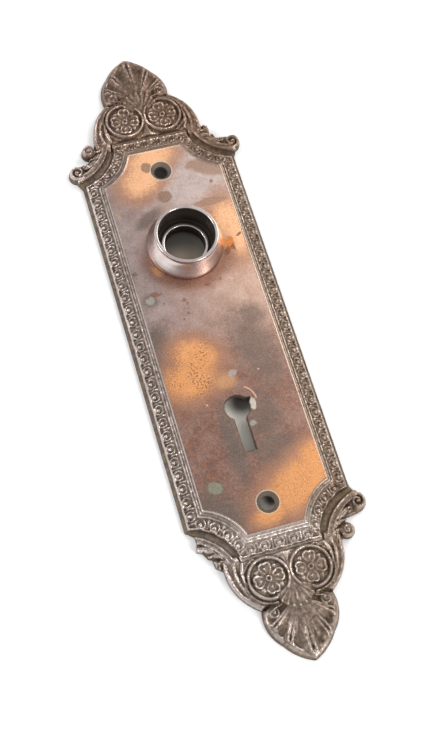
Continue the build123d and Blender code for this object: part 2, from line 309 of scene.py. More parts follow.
def palmette_outline():
    """Teardrop of the palmette, with its tail under the console."""
    flank = arc_through(PALMETTE_NECK, PALMETTE_FLANK, PALMETTE_CHEEK)
    right = np.vstack([flank, arc_through(PALMETTE_CHEEK, PALMETTE_BROW, PALMETTE_TIP)[1:]])
    left = right[::-1][1:] * [-1, 1]
    return np.vstack([right, left, [PALMETTE_TAIL]])


def shoulder_outline():
    """Flank of the console, closed behind the middle line."""
    return np.vstack([arc_through(LEAF_ROOT, SHOULDER, PALMETTE_NECK), SHOULDER_INNER])


def silhouette(x, y, has_curl, has_knob):
    """Distance inside the plate's outline in one quarter."""
    shapes, rounds = [palmette_outline(), shoulder_outline(), CORNER_GROUND], []
    for kept, neck, middle, r in ((has_curl, CURL_NECK, CURL, CURL_R), (has_knob, KNOB_NECK, KNOB, KNOB_R)):
        if kept:
            shapes.append(neck)
            rounds.append((*middle, r))
    depth = -panel_gap(x, y, 1)
    end = np.nonzero(y > END_Y)
    ex, ey = x[end], y[end]
    for shape in shapes:
        depth[end] = np.maximum(depth[end], inside(ex, ey, shape))
    for cx, cy, r in rounds:
        depth[end] = np.maximum(depth[end], r - np.hypot(ex - cx, ey - cy))
    return depth


# Border

def egg_places():
    """Places of the eggs and the darts, with the direction of their band there."""
    half_x, half_y, cut, _ = panel_sizes(EGG_SHARE)
    side = np.array([(half_x, cut - half_y), (half_x, half_y - cut)])
    end = np.array([(half_x - cut, half_y), (cut - half_x, half_y)])
    eggs, darts = [], []
    for line, count in zip((side, corner_arc(EGG_SHARE), end), EGG_COUNTS):
        along = lengths(line)
        for k in range(1, 2 * count):
            t = along[-1] * k / (2 * count)
            steps = (t - 0.05, t, t + 0.05)
            before, place, after = np.transpose([np.interp(steps, along, axis) for axis in line.T])
            way = (after - before) / np.hypot(*(after - before))
            (eggs if k % 2 else darts).append((*place, *way))
        darts.append((*line[-1], *way))
    return eggs, darts


def around(x, y, stud):
    """Grid points near a stud, with their places along the band and across it."""
    px, py, ux, uy = stud
    at = np.nonzero((abs(x - px) < STUD_REACH) & (abs(y - py) < STUD_REACH))
    dx, dy = x[at] - px, y[at] - py
    return at, dx * ux + dy * uy, dx * uy - dy * ux


def moulded_border(x, y, share):
    """Heights of the field and of the border with its beads, coves, end bars, eggs and darts."""
    t = share * BORDER[0]
    z = np.where(t > 0, FIELD_Z - (FIELD_Z - EDGE_Z) * share, FIELD_Z)
    for place, half, height in BEADS:
        z += bead(t - place, half, height)
    for start, end, depth in COVES:
        z -= depth * ease(start, start + COVE_EDGE, t) * ease(end, end - COVE_EDGE, t)
    bar = sum(BAR_STEP_Z * ease(*step, t) for step in BAR_STEPS) + bead(t - BAR_BEAD[0], *BAR_BEAD[1:])
    z += np.where((x < BAR_HALF) & (y > BAR_Y), bar, 0)
    eggs, darts = egg_places()
    for stud in eggs:
        at, u, v = around(x, y, stud)
        cup = np.hypot(u / CUP_SIZE[0], (v - CUP_SHIFT) / CUP_SIZE[1])
        z[at] += bead(cup - CUP_LINE, CUP_WALL, CUP_Z) * ease(*CUP_OPENING, v)
        z[at] += oval_dome(u, v - EGG_SHIFT, (EGG_R, EGG_R), EGG_Z)
    for stud in darts:
        at, u, v = around(x, y, stud)
        z[at] += oval_dome(u, v, DART_SIZE, DART_Z)
        z[at] += oval_dome(u, v - DART_HEAD_SHIFT, DART_HEAD, DART_HEAD_Z)
    return z


# Carving of the ends

class Carving:
    """Heights of one quarter's carving, built up stroke by stroke."""

    def __init__(self, x, y, share):
        self.x, self.y = x, y
        self.stem = (share - STEM_SHARE) * BORDER[0]
        self.corner = (x > CHANNEL_X) & (y > CHANNEL_Y[0]) & (y < CHANNEL_Y[1])
        self.z = np.where(self.corner, CHANNEL_Z, GROUND_Z)

    def near(self, curve, reach):
        """Grid points in the box round a curve."""
        (x0, y0), (x1, y1) = curve.min(0) - reach, curve.max(0) + reach
        return np.nonzero((self.x > x0) & (self.x < x1) & (self.y > y0) & (self.y < y1))

    def stroke(self, curve, widths, foot, tops):
        """Rounded ridge along a curve; half widths and tops run along it."""
        at = self.near(curve, max(widths))
        d, t = nearest(self.x[at], self.y[at], curve)
        width = np.interp(t, np.linspace(0, 1, len(widths)), widths)
        top = np.interp(t, np.linspace(0, 1, len(tops)), tops)
        self.z[at] = filled(self.z[at], d < width, foot + bead(d, width, top - foot))

    def groove(self, curve, width, depth):
        """Rounded groove along a curve."""
        at = self.near(curve, width)
        d, _ = nearest(self.x[at], self.y[at], curve)
        self.z[at] -= depth * np.clip(1 - (d / width) ** 2, 0, 1) ** 1.5

    def dome(self, centre, r, foot, top):
        """Round dome."""
        d = np.hypot(self.x - centre[0], self.y - centre[1])
        self.z = filled(self.z, d < r, foot + bead(d, r, top - foot))


def fine_flutes(across):
    """Row of fine flutes, from 0 to 1, by distance across them."""
    return 0.5 - 0.5 * np.cos(2 * np.pi * across / FINE_FLUTE)


def scroll_stem(c):
    """Dished stem of the scroll, which follows the border's hollow corner."""
    dish = 3.2 + 0.75 * (c.stem / 1.3) ** 2 + 0.5 * ease(24, 31, c.x)
    side = ease(1.55, 1.15, abs(c.stem))
    c.z = filled(c.z, c.corner & (abs(c.stem) < STEM_HALF), CHANNEL_Z + (dish - CHANNEL_Z) * side)


def console(c):
    """Block behind the rosettes, and round shoulders with bands, grooves and fine flutes."""
    depth = inside(c.x, c.y, shoulder_outline())
    c.z = filled(c.z, depth > 0, SHOULDER_Z + 1.7 * np.sqrt(ease(0, 2.2, depth)))
    c.z = filled(c.z, (c.x < 16.2) & (c.y > 89.5) & (c.y < 106), CONSOLE_Z)
    for points, widths, foot, tops in SHOULDER_BANDS:
        c.stroke(flow(points), widths, foot, tops)
    for shift in (0, 0.75):
        c.groove(flow(SHOULDER_GROOVE) - [shift, 0], 0.35, 0.3)
    fade = ease(0.7, 1.2, depth) * ease(4.6, 3.6, depth) * ease(88.5, 91, c.y) * ease(105, 101, c.y)
    c.z -= 0.3 * fine_flutes(depth) * fade * (c.x > 12)


def palmette(c):
    """Fan of flutes with pairs of thin ribs between them, inside a smooth rim."""
    depth = inside(c.x, c.y, palmette_outline())
    q, turn = np.hypot(c.x, c.y - FAN_ROOT), np.degrees(np.arctan2(c.x, c.y - FAN_ROOT))
    reach = np.maximum(q + depth - FAN_RIM, 1e-3)
    out = np.clip(q / reach, 0, 1.4)
    lobe = abs(turn / FAN_STEP - np.round(turn / FAN_STEP))
    span = np.radians(FAN_STEP) * q
    rim = 1.5 + 1.25 * ease(0, 1.2, depth) + 0.2 * ease(1, 2, depth)
    fan = 5.25 - 2.3 * out**1.6
    # ribs, flutes, and the line between two ribs
    fan += bead(lobe - 0.11, 0.09, 0.36) * ease(0.25, 0.75, out)
    hollow = 0.15 * ease(0.1, 0.5, out) + 0.95 * ease(0.5, 0.88, out)
    fan -= hollow * ease(0.18, 0.42, lobe) * ease(1.02, 0.9, out)
    fan -= 0.3 * ease(0.06, 0, lobe) * ease(0.4, 0.8, out) * ease(1, 0.92, out)
    # bead at each rib's end, pit at each flute's end, and fine veins in the flutes
    fan += oval_dome((out - 0.91) * reach, (lobe - 0.12) * span, (0.8, 0.62), 0.6)
    pit = np.hypot((out - 0.9) * reach / 1.1, (lobe - 0.5) * span / 0.9)
    fan -= 0.8 * np.clip(1 - pit**2, 0, 1)
    veins = bead(lobe - 0.5, 0.07, 0.22) + bead(lobe - 0.31, 0.06, 0.16)
    fan += veins * ease(0.2, 0.5, out) * ease(0.84, 0.72, out)
    whole = np.where((depth > FAN_RIM) & (out < 1), np.maximum(fan, 2), rim)
    c.z = np.where(c.y > 106.5, np.where(depth > 0, 0, c.z), c.z)
    c.z = filled(c.z, (depth > 0) & (c.y > 104), whole)
    c.dome(PALMETTE_EYE, 2.6, 2.6, 3.7)
    c.stroke(coil(PALMETTE_EYE, 1.9, 0.5, 200, -420), [0.5, 0.45, 0.4], 2.8, [4.5, 4.5, 4.3])


def rosette(c):
    """Raised rings round a sunk dish, with the bodies of four petals and a button."""
    dx, dy = c.x - ROSE[0], c.y - ROSE[1]
    r = np.hypot(dx, dy)
    rose = np.where(r < ROSE_R, 3.4 + 1.3 * ease(ROSE_R, 7.4, r) * ease(6.5, 7, r), 0)
    rose = filled(rose, r < DISH_R, DISH_Z)
    for radius, half, foot, height, start in ROSE_RINGS:
        there = (abs(r - radius) < half) & (c.x >= start)
        rose = filled(rose, there, foot + bead(r - radius, half, height))
    for k in range(PETALS):
        turn = 2 * np.pi * k / PETALS
        u, v = dx * np.cos(turn) + dy * np.sin(turn), dy * np.cos(turn) - dx * np.sin(turn)
        body = np.hypot((u - PETAL_MIDDLE) / PETAL_SIZE[0], v / PETAL_SIZE[1])
        rose = filled(rose, body < 1, PETAL_FOOT + bead(body, 1, PETAL_Z))
    rose -= 0.25 * np.clip(1 - ((r - 6.6) / 0.3) ** 2, 0, 1)
    c.z = np.where(r < 8.3, rose, filled(c.z, r < 9.4, rose))


def flower(c):
    """Rolled edges and veins of the rosette's petals, with buds between them."""
    for k in range(PETALS):
        turn = 2 * np.pi * k / PETALS + PETAL_TURN
        rotate = np.array([(np.cos(turn), np.sin(turn)), (-np.sin(turn), np.cos(turn))])
        c.stroke(ROSE + flow(PETAL) @ rotate, [0.35, 0.6, 0.6, 0.6, 0.35], 4.1, [4.6, 5.2, 5.5, 5.2, 4.6])
        c.stroke(ROSE + flow(PETAL_VEIN) @ rotate, [0.3, 0.5, 0.3], 4.2, [4.7, 5.2, 4.7])
        turn += np.pi / PETALS
        bud = (ROSE[0] + BUD_PLACE * np.cos(turn), ROSE[1] + BUD_PLACE * np.sin(turn))
        c.dome(bud, BUD_R, PETAL_FOOT, BUD_Z)


def ridge(c):
    """Small leaves beside the end bar and the ridge between the rosettes."""
    for points in SMALL_LEAVES:
        c.stroke(flow(points), [0.35, 0.55, 0.35], 3.2, [4, 4.5, 4])
    points, widths, foot, tops = RIDGE
    c.stroke(np.array(points), widths, foot, tops)
    c.dome((0, 89.4), 1.2, 3.4, 5)


def shell(c):
    """Small scallop over the palmette's root, with a bead at the end of each lobe."""
    q, turn = np.hypot(c.x, c.y - SHELL_ROOT), np.degrees(np.arctan2(c.x, c.y - SHELL_ROOT))
    lobe = np.cos(2 * np.pi * turn / SHELL_STEP)
    edge = SHELL_REACH - 1.5 * (turn / 64) ** 2 + 0.3 * abs(np.cos(np.pi * turn / SHELL_STEP))
    z = 4.9 + 0.22 * lobe * ease(1.5, 5.5, q) + oval_dome(q - edge + 0.7, 1 - lobe, (0.75, 1.1), 0.7)
    covered = (abs(turn) < SHELL_HALF) & (q < edge)
    c.z = np.where(covered & (q > 3.2), 0, c.z)
    c.z = filled(c.z, covered, z)


def corner_leaf(c):
    """Lobes, veins and fine flutes of the corner leaf, and the eye at its tip."""
    for points, widths, tops in LEAF_LOBES:
        c.stroke(flow(points), widths, LEAF_FOOT, tops)
    for points in LEAF_VEINS:
        c.groove(flow(points), 0.4, 0.45)
    fade = ease(1.2, 1.6, c.stem) * ease(6.5, 5.5, c.stem)
    c.z -= 0.35 * fine_flutes(c.stem) * fade * c.corner * (c.z > 2.2)
    c.stroke(coil(LEAF_EYE, 1.2, 0.3, 180, -380), [0.45, 0.35], 2.2, [4, 4.2])


def scroll_ends(c):
    """Rolled curl and knob of the corner scroll."""
    c.dome(CURL, CURL_R, SHOULDER_Z, 3.5)
    c.stroke(coil(CURL, 3, 0.75, -125, 520), [0.85, 0.8, 0.65, 0.5], 2.3, [4.2, 4.8, 4.8, 4.7])
    c.dome(CURL, 0.7, 3.2, 4.7)
    c.dome(KNOB, KNOB_R, SHOULDER_Z, 3.7)
    c.stroke(coil(KNOB, 2.35, 0.6, 150, -500), [0.75, 0.7, 0.55, 0.45], 2.3, [3.9, 4.3, 4.3, 4.2])
    c.dome(KNOB, 0.6, 3, 4.2)


def quarter(x, y):
    """Heights and border shares of the quarter with x and y above zero."""
    share = border_share(x, y)
    c = Carving(x, y, share)
    for carve in (scroll_stem, console, palmette, rosette, flower, ridge, shell, corner_leaf, scroll_ends):
        carve(c)
    return np.where(share > 1, c.z, moulded_border(x, y, share)), share


def mirrored(a):
    """Whole grid from its upper right quarter."""
    right = np.hstack([a[:, :0:-1], a])
    return np.vstack([right[:0:-1], right])


def casting():
    """Grid lines of the casting, with its heights, border shares and depths inside its outline."""
    nx, ny = [int(reach / PITCH) + 1 for reach in GRID_REACH]
    z, share = map(mirrored, quarter(*np.meshgrid(np.arange(nx) * PITCH, np.arange(ny) * PITCH)))
    t = share * BORDER[0]
    gx, gy = np.arange(1 - nx, nx) * PITCH, np.arange(1 - ny, ny) * PITCH
    x, y = np.meshgrid(gx, gy)
    depth = np.empty(x.shape)
    for sx, sy, has_curl, has_knob in CORNERS:
        at = np.nonzero((x * sx >= 0) & (y * sy >= 0))
        depth[at] = silhouette(abs(x[at]), abs(y[at]), has_curl, has_knob)
    rough = np.random.RandomState(4)
    for height, size in WAVES:
        wave = blur(rough.randn(*z.shape), size / PITCH)
        z = z + ease(0.6, 1.4, t) * height * wave / wave.std()
    z = np.where(t < FLAT_STRIP, FIELD_Z, blur(z, SMOOTHING / PITCH))
    past = np.clip(ROUND_WIDTH - depth, 0, ROUND_WIDTH)
    z = z - (ROUND_DEPTH - bead(past, ROUND_WIDTH, ROUND_DEPTH)) * (z > 1)
    return gx, gy, z, share, depth


# Meshes

def keyhole(grow=0):
    """Outline of the keyhole with its nick, anticlockwise."""
    r, half, end = KEY_R + grow, SLOT_WIDTH / 2 + grow, KEY_Y - SLOT_END - grow
    first = math.asin(half / r)
    a = np.linspace(first, 2 * np.pi - first, KEY_STEPS + 1) - np.pi / 2
    out = r + NICK_LENGTH * np.clip(1 - abs(a - NICK_TURN) / NICK_HALF, 0, 1)
    eye = np.stack([out * np.cos(a), KEY_Y + out * np.sin(a)], 1)
    return np.vstack([[(-half, end), (half, end)], eye])


class Skin:
    """Vertices and faces of one closed mesh, collected piece by piece."""

    def __init__(self):
        self.verts, self.faces, self.marks = [], [], {"cavity": [], "grime": []}
        self.count = 0

    def add(self, xy, z, **marks):
        """New vertices with their marks; gives their numbers."""
        first, new = self.count, len(xy)
        self.count += new
        self.verts.append(np.column_stack([xy, np.broadcast_to(z, new)]))
        for name, values in self.marks.items():
            values.append(np.broadcast_to(marks.get(name, 0), new))
        return np.arange(first, self.count)

    def wall(self, upper, lower):
        """Quads between two closed rings of the same length."""
        self.faces += np.column_stack([lower, np.roll(lower, -1), np.roll(upper, -1), upper]).tolist()

    def tube(self, levels):
        """Rings by outline, height and darkening, with walls between them; gives the rings."""
        rings = [self.add(outline, height, grime=grime) for outline, height, grime in levels]
        for upper, lower in zip(rings, rings[1:]):
            self.wall(upper, lower)
        return rings

    def fill(self, outer, holes):
        """Triangles inside one closed ring of vertex numbers and outside some others."""
        flat = np.vstack(self.verts)[:, :2]
        ids = np.concatenate([outer] + holes)
        edges = []
        for loop in [outer] + holes:
            first = len(edges)
            edges += [(first + k, first + (k + 1) % len(loop)) for k in range(len(loop))]
        _, _, found, source, _, _ = delaunay_2d_cdt([Vector(flat[i]) for i in ids], edges, [], 0, 1e-7)
        tris = np.array([[source[i][0] for i in tri] for tri in found])
        x, y = flat[ids[tris]].mean(1).T
        keep = inside(x, y, flat[outer]) > 0
        for hole in holes:
            keep &= inside(x, y, flat[hole]) < 0
        tris = tris[keep].tolist()
        # a triangle with a free side that is on no ring is a sliver outside the outline
        rims = {frozenset(edge) for edge in edges}
        used = Counter(frozenset(side) for tri in tris for side in sides(tri))
        for tri in tris:
            if all(used[side] == 2 or side in rims for side in map(frozenset, sides(tri))):
                self.faces.append(ids[tri].tolist())


def sides(face):
    """Sides of a face as pairs of vertex numbers."""
    return zip(face, face[1:] + face[:1])


def boundary_rings(faces):
    """Closed rings of vertex numbers along the free sides of some faces."""
    found = {side for face in faces for side in sides(face)}
    follow = {}
    for a, b in found:
        if (b, a) not in found:
            follow.setdefault(a, []).append(b)
    rings = []
    while follow:
        loop = [next(iter(follow))]
        while len(loop) == 1 or loop[-1] != loop[0]:
            ways = follow[loop[-1]]
            if len(ways) == 1:
                del follow[loop[-1]]
            loop.append(ways.pop())
        rings.append(np.array(loop[:-1]))
    return rings


def carved_region(skin, gx, gy, z, depth, cavity):
    """Faces of the height field where the depth is positive; gives its boundary rings."""
    depth = np.where(abs(depth) < 0.15 * PITCH, 0, depth)
    inner = depth >= 0
    corners_in = inner[:-1, :-1].astype(int) + inner[:-1, 1:] + inner[1:, 1:] + inner[1:, :-1]
    j, i = np.nonzero(inner)
    number = np.full(depth.shape, -1)
    number[j, i] = skin.add(np.column_stack([gx[i], gy[j]]), z[j, i], cavity=cavity[j, i])
    j, i = np.nonzero(corners_in == 4)
    faces = np.column_stack([number[j, i], number[j, i + 1], number[j + 1, i + 1], number[j + 1, i]]).tolist()
    crossings, points = {}, []

    def cut(a, b):
        """Number of the point where the outline crosses a side of a square."""
        a, b = min(a, b), max(a, b)
        if (a, b) not in crossings:
            crossings[a, b] = skin.count + len(points)
            (ja, ia), (jb, ib) = a, b
            first = np.array([gx[ia], gy[ja], z[a], cavity[a]])
            last = np.array([gx[ib], gy[jb], z[b], cavity[b]])
            points.append(first + depth[a] / (depth[a] - depth[b]) * (last - first))
        return crossings[a, b]

    for j, i in zip(*np.nonzero((corners_in > 0) & (corners_in < 4))):
        loop = []
        for a, b in sides([(j, i), (j, i + 1), (j + 1, i + 1), (j + 1, i)]):
            if inner[a]:
                loop.append(int(number[a]))
            if inner[a] != inner[b] and max(depth[a], depth[b]) > 0:
                loop.append(cut(a, b))
        if len(loop) > 2:
            faces.append(loop)
    points = np.array(points)
    skin.add(points[:, :2], points[:, 2], cavity=points[:, 3])
    skin.faces += faces
    return boundary_rings(faces)


def crevices(gy, z, share):
    """Height of each point above its surroundings, below zero in crevices, where the material paints dark
    patina and painted shade. Outside the panel it is pushed lower, and the outer cove along the sides is
    marked deeper, for more painted shade.
    """
    t = share * BORDER[0]
    cavity = 0.85 * (z - blur(z, 0.5 / PITCH)) + 0.25 * (z - blur(z, 1.5 / PITCH))
    cavity *= ease(*RELIEF_START, t)
    # outside the panel: stronger contrast and darker, for more painted shade and painted highlight
    cavity = np.where(share > 1.03, 1.2 * cavity - 0.05, cavity)
    # outer cove along the sides marked deeper: painted shade
    outer_cove_shade = ease(6.5, 6.9, t) * ease(8.4, 8, t) * (abs(gy) < 76)[:, None]
    return cavity - 0.3 * outer_cove_shade


def hole_levels():
    """Levels of each hole from the field to the hollow: outline, height and darkening, which is dull raw
    casting and painted shade, darker toward the hollow.
    """
    for y in (SCREW_Y, -SCREW_Y):
        mouth, sink, neck = [ring(0, y, r, HOLE_SIDES) for r in (SINK_R, SINK_R - SINK_EDGE, SCREW_R)]
        yield [(mouth, FIELD_Z, 0), (sink, FIELD_Z - SINK_EDGE, 0.9),
               (neck, FIELD_Z - (SINK_R - SCREW_R), 0.9), (neck, RECESS_Z, 1)]
    bore = ring(0, COLLAR_Y, COLLAR_HOLE, BORE_SIDES)
    yield [(bore, FIELD_Z, 0), (bore, RECESS_Z, 1)]
    yield [(keyhole(KEY_WEAR), FIELD_Z, 0), (keyhole(), FIELD_Z - 0.25, 0.3),
           (keyhole(), FIELD_Z - 0.4, 0.5), (keyhole(), RECESS_Z, 0.8)]


def casting_skin():
    """The casting as one closed skin: carving, field with its holes, edge and hollow back."""
    gx, gy, z, share, depth = casting()
    skin = Skin()
    carved = np.minimum(depth, share * BORDER[0] + FIELD_LAP)
    rings = carved_region(skin, gx, gy, z, carved, crevices(gy, z, share))
    verts = np.vstack(skin.verts)
    inner, outer = sorted(rings, key=lambda loop: abs(verts[loop, 1]).max())
    holes = [skin.tube(levels) for levels in hole_levels()]
    skin.fill(inner, [hole[0] for hole in holes])
    foot = skin.add(verts[outer, :2], 0, grime=1)
    skin.wall(outer, foot)
    rim = skin.add(panel_outline(RECESS_SHARE), 0, grime=1)
    roof = skin.add(panel_outline(RECESS_SHARE), RECESS_Z, grime=1)
    skin.wall(roof, rim)
    skin.fill(foot, [rim])
    skin.fill(roof, [hole[-1] for hole in holes])
    # zone: 0 on the field, 1 on the border and the carving
    x, y = abs(np.vstack(skin.verts)[:, :2].T)
    skin.marks["zone"] = [ease(*RELIEF_START, border_share(x, y) * BORDER[0])]
    return skin


def collar_profile():
    """Closed profile of the collar: radius, height above the field and darkening, which is painted shade at
    the foot and in the neck under the rim, and dark inside.
    """
    # the foot, tucked under the skirt, is darkened as painted shade
    seam = [(14.4, 0, 1), (14.75, 0.12, 0.8), (14.95, 0.3, 0.1)]
    skirt = flow([(15.08, 0.5), (15.2, 1.1), (15, 2), (14.3, 3.4), (13.5, 5), (12.75, 6.6),
                  (12.3, 7.5)], 5)
    # the neck under the rim is darkened as painted shade
    neck = [(12.14, 7.9, 0.35), (12.1, 8.1, 0.75), (12.13, 8.3, 0.5)]
    rim = flow([(12.3, 8.5), (12.48, 8.75), (12.5, 9.3), (12.42, 9.62), (12.25, 9.76), (12, 9.78),
                (11.5, 9.78), (11.3, 9.74), (11.16, 9.6)], 4)
    mouth = [(COUNTERBORE_R, 9.45, 0.6)] + [(COUNTERBORE_R, h, 1) for h in (9.2, 6, 3, 0.7)]
    floor = [(10.95, 0.45, 1), (10.6, 0.4, 1), (9.55, 0.4, 1), (9.38, 0.5, 0.5)]
    lip = flow([(9.3, 0.7), (9.2, 0.92), (9, 0.99), (8.35, 0.99), (8.12, 0.92), (8.02, 0.75)], 3)
    ceiling = RECESS_Z - FIELD_Z
    tail = ceiling - SWAGE_DEPTH
    bore = [(BORE_R, 0.5, 0.6)] + [(BORE_R, h, 1) for h in (0.2, -1.5, tail)]
    swage = [(SWAGE_R, tail, 1), (SWAGE_R, ceiling, 1), (SPIGOT_R, ceiling, 1), (SPIGOT_R, -0.001, 1)]

    def clean(points):
        return [(r, h, 0) for r, h in points]

    return seam + clean(skirt) + neck + clean(rim) + mouth + floor + clean(lip) + bore + swage


def collar_skin():
    """The collar, turned about its bore's axis."""
    skin = Skin()
    profile = collar_profile()
    rings = skin.tube([(ring(0, COLLAR_Y, r, COLLAR_SIDES), FIELD_Z + h, dark) for r, h, dark in profile])
    skin.wall(rings[-1], rings[0])
    return skin


def add_object(name, data):
    """New object in the scene."""
    obj = bpy.data.objects.new(name, data)
    bpy.context.scene.collection.objects.link(obj)
    return obj


def make_object(name, skin, material, sharp_angle):
    """Object from a skin, smooth except where faces meet at more than an angle."""
    mesh = bpy.data.meshes.new(name)
    mesh.from_pydata((np.vstack(skin.verts) * MM).tolist(), [], skin.faces)
    mesh.validate()
    for label, values in skin.marks.items():
        attribute = mesh.attributes.new(label, "FLOAT", "POINT")
        attribute.data.foreach_set("value", np.concatenate(values).astype(np.float32))
    bm = bmesh.new()
    bm.from_mesh(mesh)
    bmesh.ops.delete(bm, geom=[v for v in bm.verts if not v.link_faces], context="VERTS")
    bmesh.ops.recalc_face_normals(bm, faces=bm.faces)
    bm.to_mesh(mesh)
    bm.free()
    mesh.shade_smooth()
    mesh.set_sharp_from_angle(angle=math.radians(sharp_angle))
    mesh.materials.append(material)
    return add_object(name, mesh)


# Materials

def rgb(*values):
    """Shader colour from a screen colour of 0 to 255."""
    shares = [c / 255 for c in values]
    return [s / 12.92 if s <= 0.04045 else ((s + 0.055) / 1.055) ** 2.4 for s in shares] + [1]


class Nodes:
    """Short names for building a material's node tree."""

    def __init__(self, name):
        self.material = bpy.data.materials.new(name)
        self.material.use_nodes = True
        self.tree = self.material.node_tree
        self.tree.nodes.clear()
        self.bsdf = self.tree.nodes.new("ShaderNodeBsdfPrincipled")
        self.node("OutputMaterial", {"Surface": self.bsdf.outputs["BSDF"]})
        self.mm = self.scaled(self.node("TexCoord", {})["Object"], 1 / MM)

    def put(self, socket, value):
        """Link a socket, or set it to a constant."""
        if isinstance(value, bpy.types.NodeSocket):
            self.tree.links.new(value, socket)
        else:
            socket.default_value = value

    def node(self, kind, inputs, **settings):
        """Outputs of a new node with its settings and inputs."""
        node = self.tree.nodes.new("ShaderNode" + kind)
        for name, value in settings.items():
            setattr(node, name, value)
        for key, value in inputs.items():
            self.put(node.inputs[key], value)
        return node.outputs

    def shade(self, **values):
        """Set sockets of the surface shader by name."""
        for name, value in values.items():
            self.put(self.bsdf.inputs[name.replace("_", " ")], value)

    def vector(self, op, a, b=(0, 0, 0)):
        outputs = self.node("VectorMath", {0: a, 1: b}, operation=op)
        return outputs["Value" if op in ("LENGTH", "DISTANCE") else "Vector"]

    def scaled(self, a, scale):
        return self.node("VectorMath", {0: a, "Scale": scale}, operation="SCALE")["Vector"]

    def math(self, op, a, b=0, clamp=False):
        return self.node("Math", {0: a, 1: b}, operation=op, use_clamp=clamp)[0]

    def times(self, a, b):
        return self.math("MULTIPLY", a, b)

    def plus(self, a, b):
        return self.math("ADD", a, b)

    def size(self, a):
        return self.math("ABSOLUTE", a)

    def spread(self, noise, amount):
        """Noise moved to swing about zero."""
        return self.times(self.math("SUBTRACT", noise, 0.5), amount)

    def split(self, where):
        return self.node("SeparateXYZ", {0: where})

    def noise(self, where, scale, detail=3, rough=0.55, output="Fac"):
        inputs = {"Vector": where, "Scale": scale, "Detail": detail, "Roughness": rough}
        return self.node("TexNoise", inputs)[output]

    def ramp(self, value, low, high, to_low=0, to_high=1):
        """Smooth step of a value between two places."""
        inputs = {"Value": value, "From Min": low, "From Max": high, "To Min": to_low, "To Max": to_high}
        return self.node("MapRange", inputs, interpolation_type="SMOOTHSTEP")["Result"]

    def mix(self, share, a, b, mode="MIX"):
        inputs = {"Factor": share, "A": a, "B": b}
        return self.node("Mix", inputs, data_type="RGBA", blend_type=mode)["Result"]

    def warp(self, where, scale, amount):
        """Place shifted by noise, in millimetres."""
        shift = self.vector("SUBTRACT", self.noise(where, scale, output="Color"), (0.5, 0.5, 0.5))
        return self.vector("ADD", where, self.scaled(shift, 2 * amount))

    def oval(self, where, x, y, rx, ry, turn=0):
        """Distance from an oval's middle: 1 on its outline."""
        inputs = {"Vector": where, "Location": (x, y, 0), "Rotation": (0, 0, math.radians(turn)),
                  "Scale": (rx, ry, 1000)}
        return self.vector("LENGTH", self.node("Mapping", inputs, vector_type="TEXTURE")["Vector"])

    def ovals(self, where, places):
        """Distance from the nearest of some ovals."""
        best = self.oval(where, *places[0])
        for place in places[1:]:
            best = self.math("MINIMUM", best, self.oval(where, *place))
        return best

    def attribute(self, name):
        return self.node("Attribute", {}, attribute_name=name)["Fac"]

    def bump(self, height, strength, distance):
        bumps = self.node("Bump", {"Height": height, "Strength": strength, "Distance": distance})
        self.shade(Normal=bumps["Normal"])


# Stains on the field, and one patch of painted shadow beside the collar: colour, softness, strength, then
# place, radii and turn of each
STAINS_AND_SHADOW = [
    ((158, 124, 102), 0.2, 0.85, [(18.5, 68.6, 8, 3.6, -22), (12, 71, 2.4, 1.5, 20), (15.5, 53, 7, 1.7)]),
    ((144, 112, 92), 0.15, 0.85, [(-1.9, 59.4, 3.1, 2.7, 15), (-5.4, 73.8, 2.3, 2.1)]),
    # the first oval of this group, beside the collar's upper left, is painted shadow; the others are stains
    ((102, 88, 80), 0.5, 0.8, [
        (-10.8, 51.2, 6.4, 2.5, 32), (-19.6, 16.5, 2.9, 2.8), (-22.5, 28.8, 0.9, 0.9), (-7, 8, 0.6, 0.5),
        (-9.2, 6.2, 0.4, 0.4), (-15.2, 14, 0.5, 0.5)]),
    ((134, 88, 70), 0.4, 0.8, [
        (18.2, 61.8, 0.9, 0.9), (-7, 13.6, 1, 0.9), (-6.1, 12.1, 0.5, 0.5), (3.6, 18.2, 1.2, 1),
        (9.4, 19.2, 0.7, 0.6), (-16.9, 18.6, 2.4, 1, -10)]),
    ((206, 122, 46), 0.2, 0.95, [(17.3, 33.4, 1.9, 2.7, -22)]),
    ((116, 70, 40), 0.35, 0.85, [(15.6, 30.2, 2, 1.2, 35), (18.4, 31.2, 0.9, 1.4), (22, 36.2, 1.4, 0.6, 15)]),
    ((208, 154, 104), 0.5, 0.65, [(-14, 28, 2.6, 1.4, -55), (-21.9, 55.3, 0.6, 1.4, 20), (-1, -22.5, 4, 3)]),
    ((168, 164, 154), 0.3, 0.75, [(-19.6, 16.5, 1.7, 1.6), (2.1, -20, 2, 1.2, 25), (3.7, -41, 1.2, 1.1)]),
    ((200, 190, 178), 0.15, 0.95, [
        (6.1, -33.6, 1.15, 2.1, -14), (-10.6, -30, 0.35, 0.35), (12.4, -20.5, 0.35, 0.35)]),
    ((102, 96, 80), 0.12, 0.8, [(-17, -61.2, 3.3, 2.7, -10)]),
    ((142, 138, 120), 0.12, 0.85, [(-17, -61.2, 2.9, 2.3, -10)]),
]

# Dull patches of the field, and patches rubbed down to copper: place, radii and turn
DULL = [(14, -12, 7, 16, 12), (16, 1, 5, 5), (-22, -2, 5, 8), (-5.5, -47, 3.5, 15), (9, -52, 8, 6, 20),
        (-17.5, -72.5, 14, 7, -44), (8, -38, 7, 9)]
COPPER = [(-8.5, 69.5, 9.5, 7, 38), (-3, 77, 11, 6, 20), (20, 40, 7, 12.5), (-9.5, -10, 8.5, 7, -30),
          (-14, -18.5, 10, 7.5, 10), (14, -67, 16, 8, 27), (0, -75.5, 7, 3.8, 15), (22, -59, 6, 6)]
MOST_PITTED = (-12, -15, 11, 11)

# Arc scratched beside the keyhole: middle, radius, and the oval that it is seen in
SCRATCH_MIDDLE, SCRATCH_R, SCRATCH_OVAL = (1.6, -31.8, 0), 6.4, (7, -28.4, 2.2, 3.4, 20)


